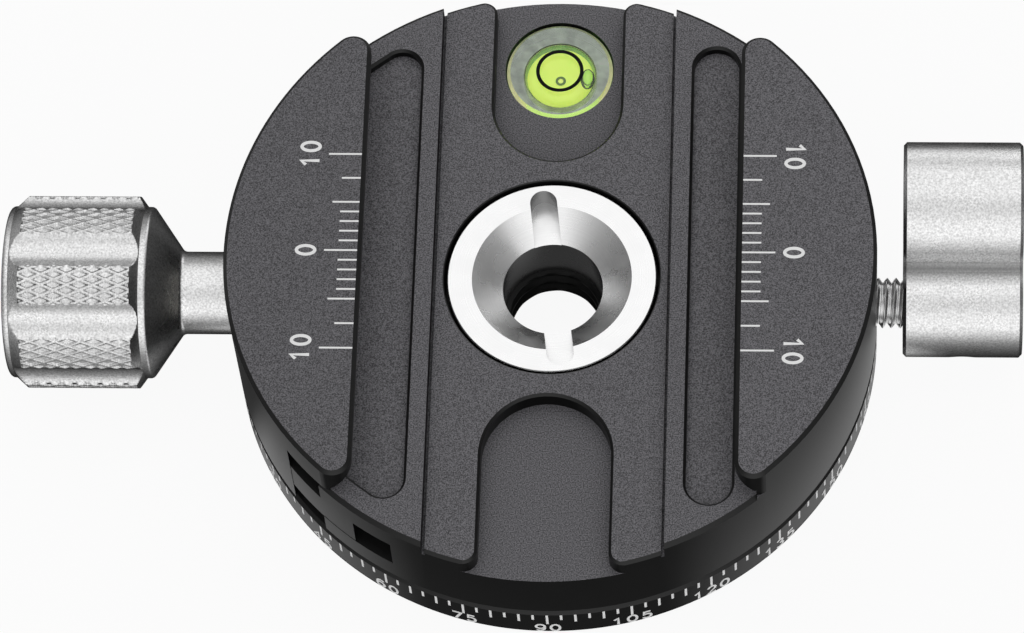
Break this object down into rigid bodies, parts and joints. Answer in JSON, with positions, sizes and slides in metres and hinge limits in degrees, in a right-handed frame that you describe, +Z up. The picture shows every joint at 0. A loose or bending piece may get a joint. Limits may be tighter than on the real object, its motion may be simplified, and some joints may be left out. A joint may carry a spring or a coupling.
{
  "type": "panoramic tripod head",
  "caption": "Low round panning clamp with a dovetail channel, knurled clamp knob, panning lock lever, degree band and bubble level, for a tripod or ball head.",
  "frame": {"origin": "middle of the base's underside, on the pan axis", "axes": "+Z up along the pan axis, +X to the lock lever and away from the clamp knob, +Y to the bubble level"},
  "size_m": [0.094, 0.06, 0.0201],
  "materials": {
    "black_anodised": "fine sandblasted black anodised",
    "silver_anodised": "satin silver anodised",
    "turned_steel": "fine turned stainless",
    "spring_steel": "drawn wire",
    "bearing_polymer": "moulded",
    "brake_brass": "turned",
    "clear_acrylic": "polished",
    "level_liquid": "clear liquid",
    "level_air": "air bubble",
    "target_black": "printed",
    "backing_yellow": "moulded"
  },
  "bodies": {
    "base": {"base_plate": "black_anodised", "lower_bearing_ring": "bearing_polymer", "hub_nut": "turned_steel", "upper_bearing_ring": "bearing_polymer"},
    "rotor": {"clamp_body": "black_anodised", "jaw_stop_screw": "turned_steel", "level_vial": "clear_acrylic", "level_fluid": "level_liquid", "level_bubble": "level_air", "level_mark_ring": "target_black", "level_backing": "backing_yellow"},
    "jaw": {"moving_jaw": "black_anodised", "thrust_washer": "bearing_polymer", "return_spring": "spring_steel"},
    "knob": {"clamp_screw": "turned_steel", "clamp_knob": "silver_anodised", "knob_grub_screw": "turned_steel"},
    "brake": {"brake_plug": "brake_brass"},
    "lever": {"lock_stud": "turned_steel", "lock_lever": "silver_anodised", "lever_grub_screw": "turned_steel"}
  },
  "joints": [
    {"name": "pan", "type": "hinge", "parent": "base", "child": "rotor", "pos_m": [0, 0, 0], "axis": [0, 0, 1], "continuous": true},
    {"name": "jaw_slide", "type": "slide", "parent": "rotor", "child": "jaw", "axis": [1, 0, 0], "range_m": [-0.0032, 0.0018], "deforming": ["return_spring"]},
    {"name": "knob_turn", "type": "hinge", "parent": "jaw", "child": "knob", "pos_m": [-0.04, 0, 0.0101], "axis": [1, 0, 0], "range_deg": [-1153, 649]},
    {"name": "brake_slide", "type": "slide", "parent": "rotor", "child": "brake", "axis": [1, 0, 0], "range_m": [-0.000055, 0.000333]},
    {"name": "lever_turn", "type": "hinge", "parent": "brake", "child": "lever", "pos_m": [0.037, 0, 0.0089], "axis": [1, 0, 0], "range_deg": [-25, 150]}
  ],
  "couplings": [
    {"joint": "knob_turn", "follows": "jaw_slide", "rad_per_m": 6283.2},
    {"joint": "lever_turn", "follows": "brake_slide", "rad_per_m": 7854}
  ]
}
